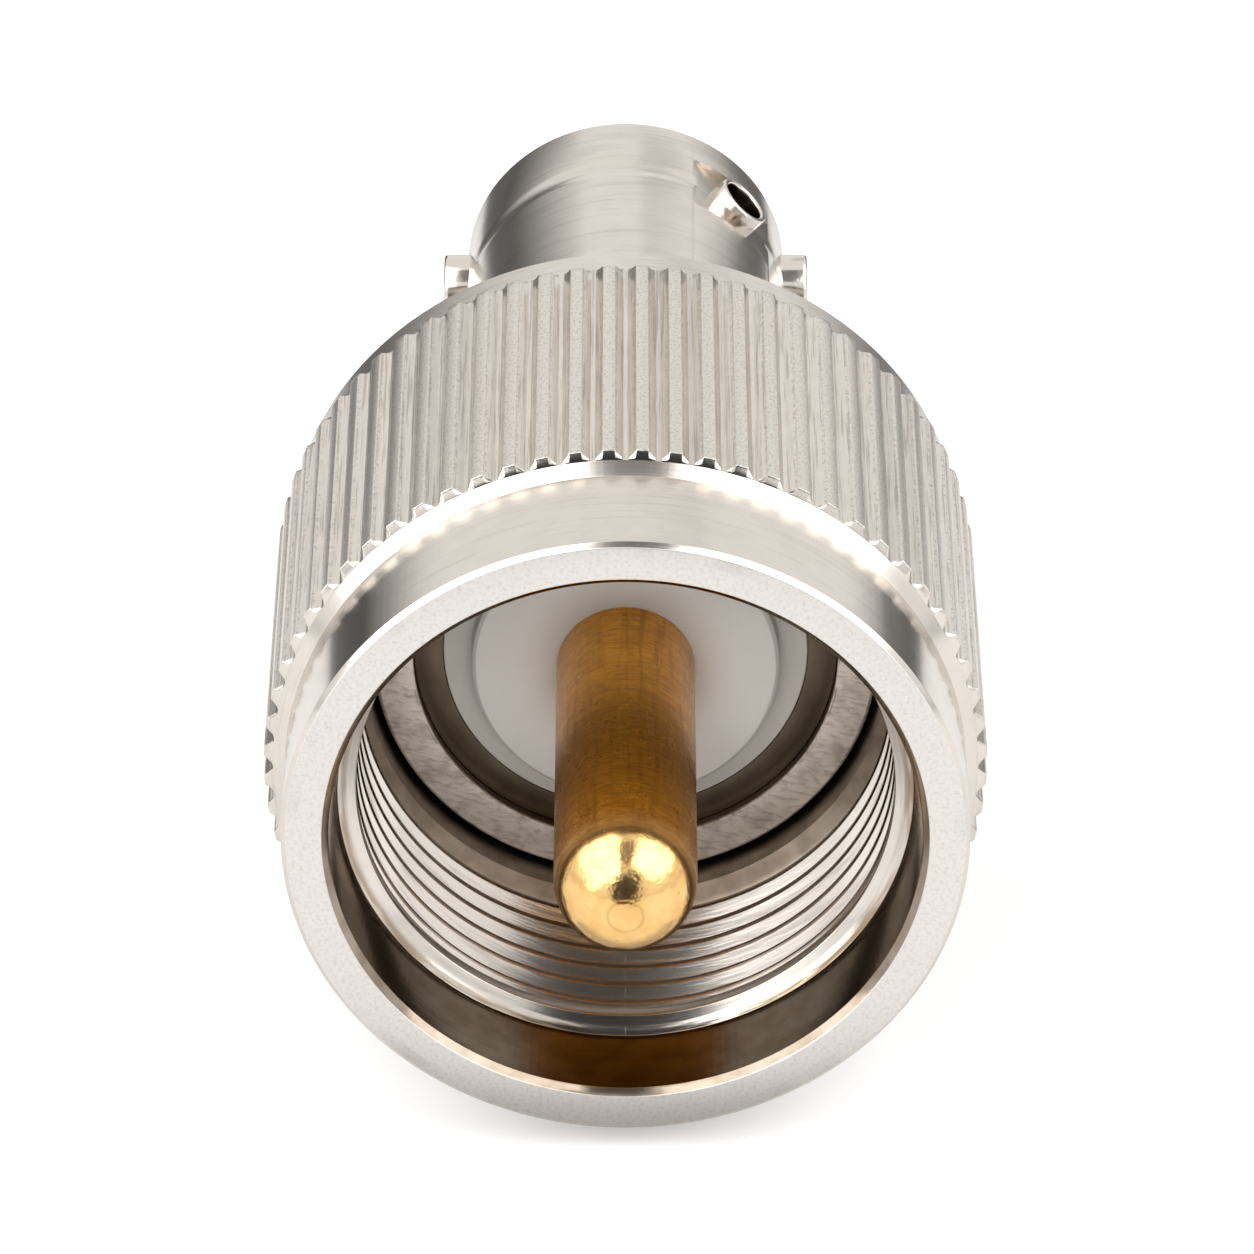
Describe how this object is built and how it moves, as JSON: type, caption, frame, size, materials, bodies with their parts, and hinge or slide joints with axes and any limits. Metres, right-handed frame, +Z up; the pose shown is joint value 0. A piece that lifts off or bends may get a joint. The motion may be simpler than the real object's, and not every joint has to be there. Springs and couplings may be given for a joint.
{
  "type": "coaxial adapter",
  "caption": "Coaxial adapter with a knurled screw-on plug and round-ended centre pin at one end and a bayonet jack with side lugs at the other.",
  "frame": {"origin": "on the axis, in the front face of the shell's contact ring, which meets the face of the mating threaded socket", "axes": "+Y along the axis from the plug to the bayonet jack, +Z up as the adapter lies on its nut, +X to the right as seen from the plug"},
  "size_m": [0.02, 0.0376, 0.02],
  "materials": {
    "nickel_nut": "nickel plate over turned and knurled brass",
    "nickel_shell": "nickel plate over turned brass",
    "nickel_lug": "bright nickel plate",
    "dark_nickel": "dull nickel plate",
    "spring_bronze": "spring bronze strip",
    "bare_brass": "turned brass, polished at the tip",
    "gilt_contact": "thin gold plate",
    "white_insulator": "smooth white fluoropolymer"
  },
  "bodies": {
    "adapter": {"main_shell": "nickel_shell", "insulator_retainer": "dark_nickel", "front_insulator": "white_insulator", "centre_pin": "bare_brass", "socket_contact": "gilt_contact", "rear_insulator": "white_insulator", "bayonet_lug_left": "nickel_lug", "bayonet_lug_right": "nickel_lug", "hollow_stud": "nickel_lug"},
    "ring": {"nut_snap_ring": "spring_bronze"},
    "nut": {"coupling_nut": "nickel_nut"}
  },
  "joints": [
    {"name": "nut_slide", "type": "slide", "parent": "adapter", "child": "ring", "axis": [0, 1, 0], "range_m": [-0.002, 0.00015]},
    {"name": "nut_spin", "type": "hinge", "parent": "ring", "child": "nut", "pos_m": [0, 0, 0], "axis": [0, 1, 0], "continuous": true}
  ]
}
